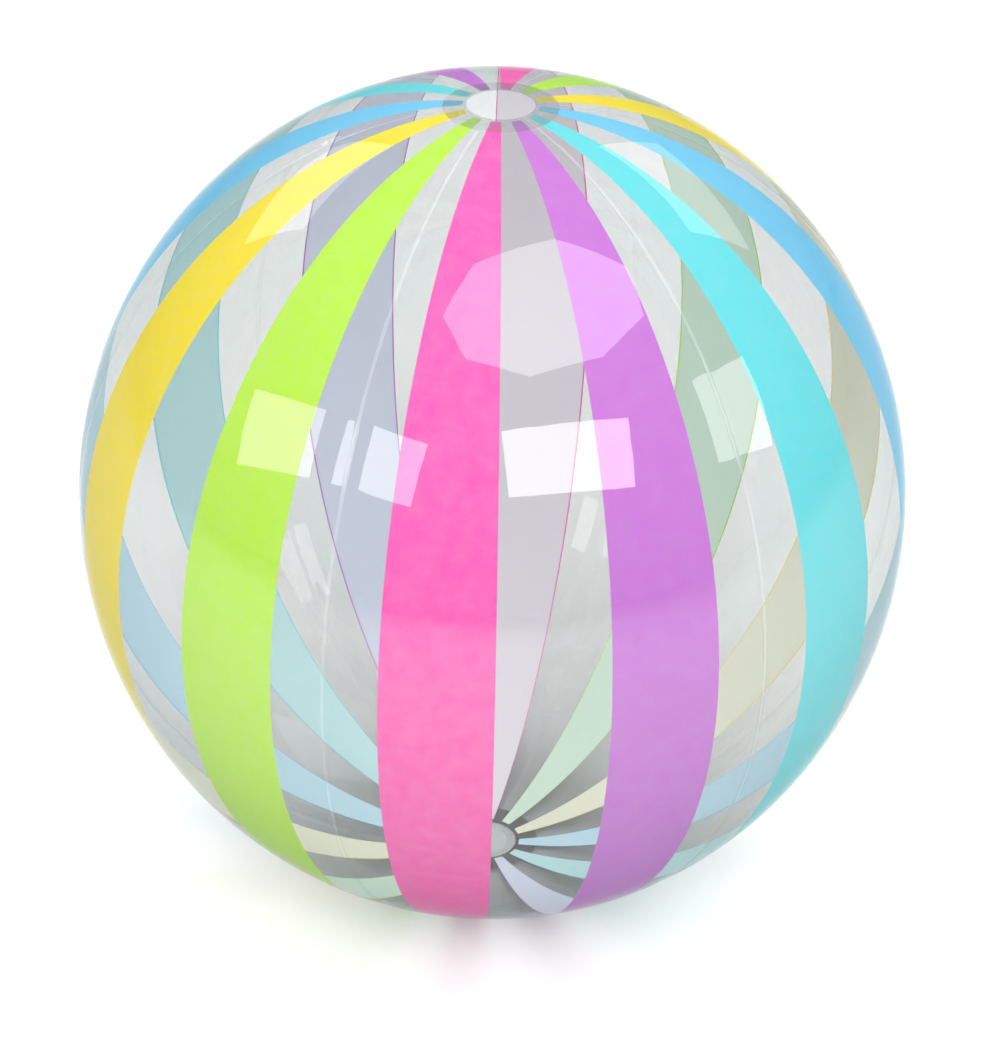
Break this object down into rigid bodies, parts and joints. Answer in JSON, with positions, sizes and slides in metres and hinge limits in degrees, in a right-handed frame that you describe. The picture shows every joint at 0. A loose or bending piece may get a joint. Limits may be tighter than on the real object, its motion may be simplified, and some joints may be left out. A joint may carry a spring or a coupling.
{
  "type": "inflatable beach ball",
  "caption": "Large inflated beach ball of welded clear film panels with coloured stripes, round pole caps and a push-in valve with a tethered plug.",
  "frame": {"origin": "centre of the inflated ball, halfway between its poles", "axes": "+Z runs from the bottom cap to the top cap along the pole axis, -Y faces the front pink and purple stripes, +X is to their right, and the valve is on the back panel below the equator"},
  "size_m": [0.68, 0.68, 0.708],
  "materials": {
    "clear_film": "clear glossy PVC film",
    "weld": "clear welded lap, slightly frosted",
    "cap_film": "clear glossy PVC film with a pressed round weld",
    "ink_pink": "pink ink under clear film",
    "ink_purple": "purple ink under clear film",
    "ink_teal": "teal ink under clear film",
    "ink_blue": "blue ink under clear film",
    "ink_yellow": "yellow ink under clear film",
    "ink_lime": "lime ink under clear film",
    "white_backing": "matt translucent white ink",
    "valve_pvc": "moulded milky clear soft PVC",
    "plug_pvc": "moulded milky clear soft PVC"
  },
  "bodies": {
    "ball": {"panel_front": "clear_film", "panel_right_front": "clear_film", "panel_right_back": "clear_film", "panel_back": "clear_film", "panel_left_back": "clear_film", "panel_left_front": "clear_film", "seam_front_right": "weld", "seam_right": "weld", "seam_back_right": "weld", "seam_back_left": "weld", "seam_left": "weld", "seam_front_left": "weld", "stripe_pink_front": "ink_pink", "stripe_purple_front": "ink_purple", "stripe_teal_right": "ink_teal", "stripe_blue_right": "ink_blue", "stripe_yellow_right": "ink_yellow", "stripe_lime_right": "ink_lime", "stripe_pink_back": "ink_pink", "stripe_purple_back": "ink_purple", "stripe_teal_left": "ink_teal", "stripe_blue_left": "ink_blue", "stripe_yellow_left": "ink_yellow", "stripe_lime_left": "ink_lime", "backing_pink_front": "white_backing", "backing_purple_front": "white_backing", "backing_teal_right": "white_backing", "backing_blue_right": "white_backing", "backing_yellow_right": "white_backing", "backing_lime_right": "white_backing", "backing_pink_back": "white_backing", "backing_purple_back": "white_backing", "backing_teal_left": "white_backing", "backing_blue_left": "white_backing", "backing_yellow_left": "white_backing", "backing_lime_left": "white_backing", "cap_top": "cap_film", "cap_bottom": "cap_film", "valve_flange": "valve_pvc", "valve_diaphragm": "valve_pvc"},
    "valve": {"valve_stem": "valve_pvc", "plug_tether": "plug_pvc"},
    "plug": {"valve_plug": "plug_pvc"},
    "flap": {"valve_check_flap": "valve_pvc"}
  },
  "joints": [
    {"name": "valve_slide", "type": "slide", "parent": "ball", "child": "valve", "axis": [-0.1183, 0.8986, -0.4226], "range_m": [0, 0.017], "deforming": ["valve_diaphragm"]},
    {"name": "plug_pull", "type": "slide", "parent": "valve", "child": "plug", "axis": [-0.1183, 0.8986, -0.4226], "range_m": [0, 0.022], "deforming": ["plug_tether"]},
    {"name": "flap_hinge", "type": "hinge", "parent": "valve", "child": "flap", "pos_m": [-0.03776, 0.28684, -0.13921], "axis": [-0.9914, -0.1305, 0], "range_deg": [0, 65], "stiffness_Nm_per_rad": 0.0002}
  ]
}
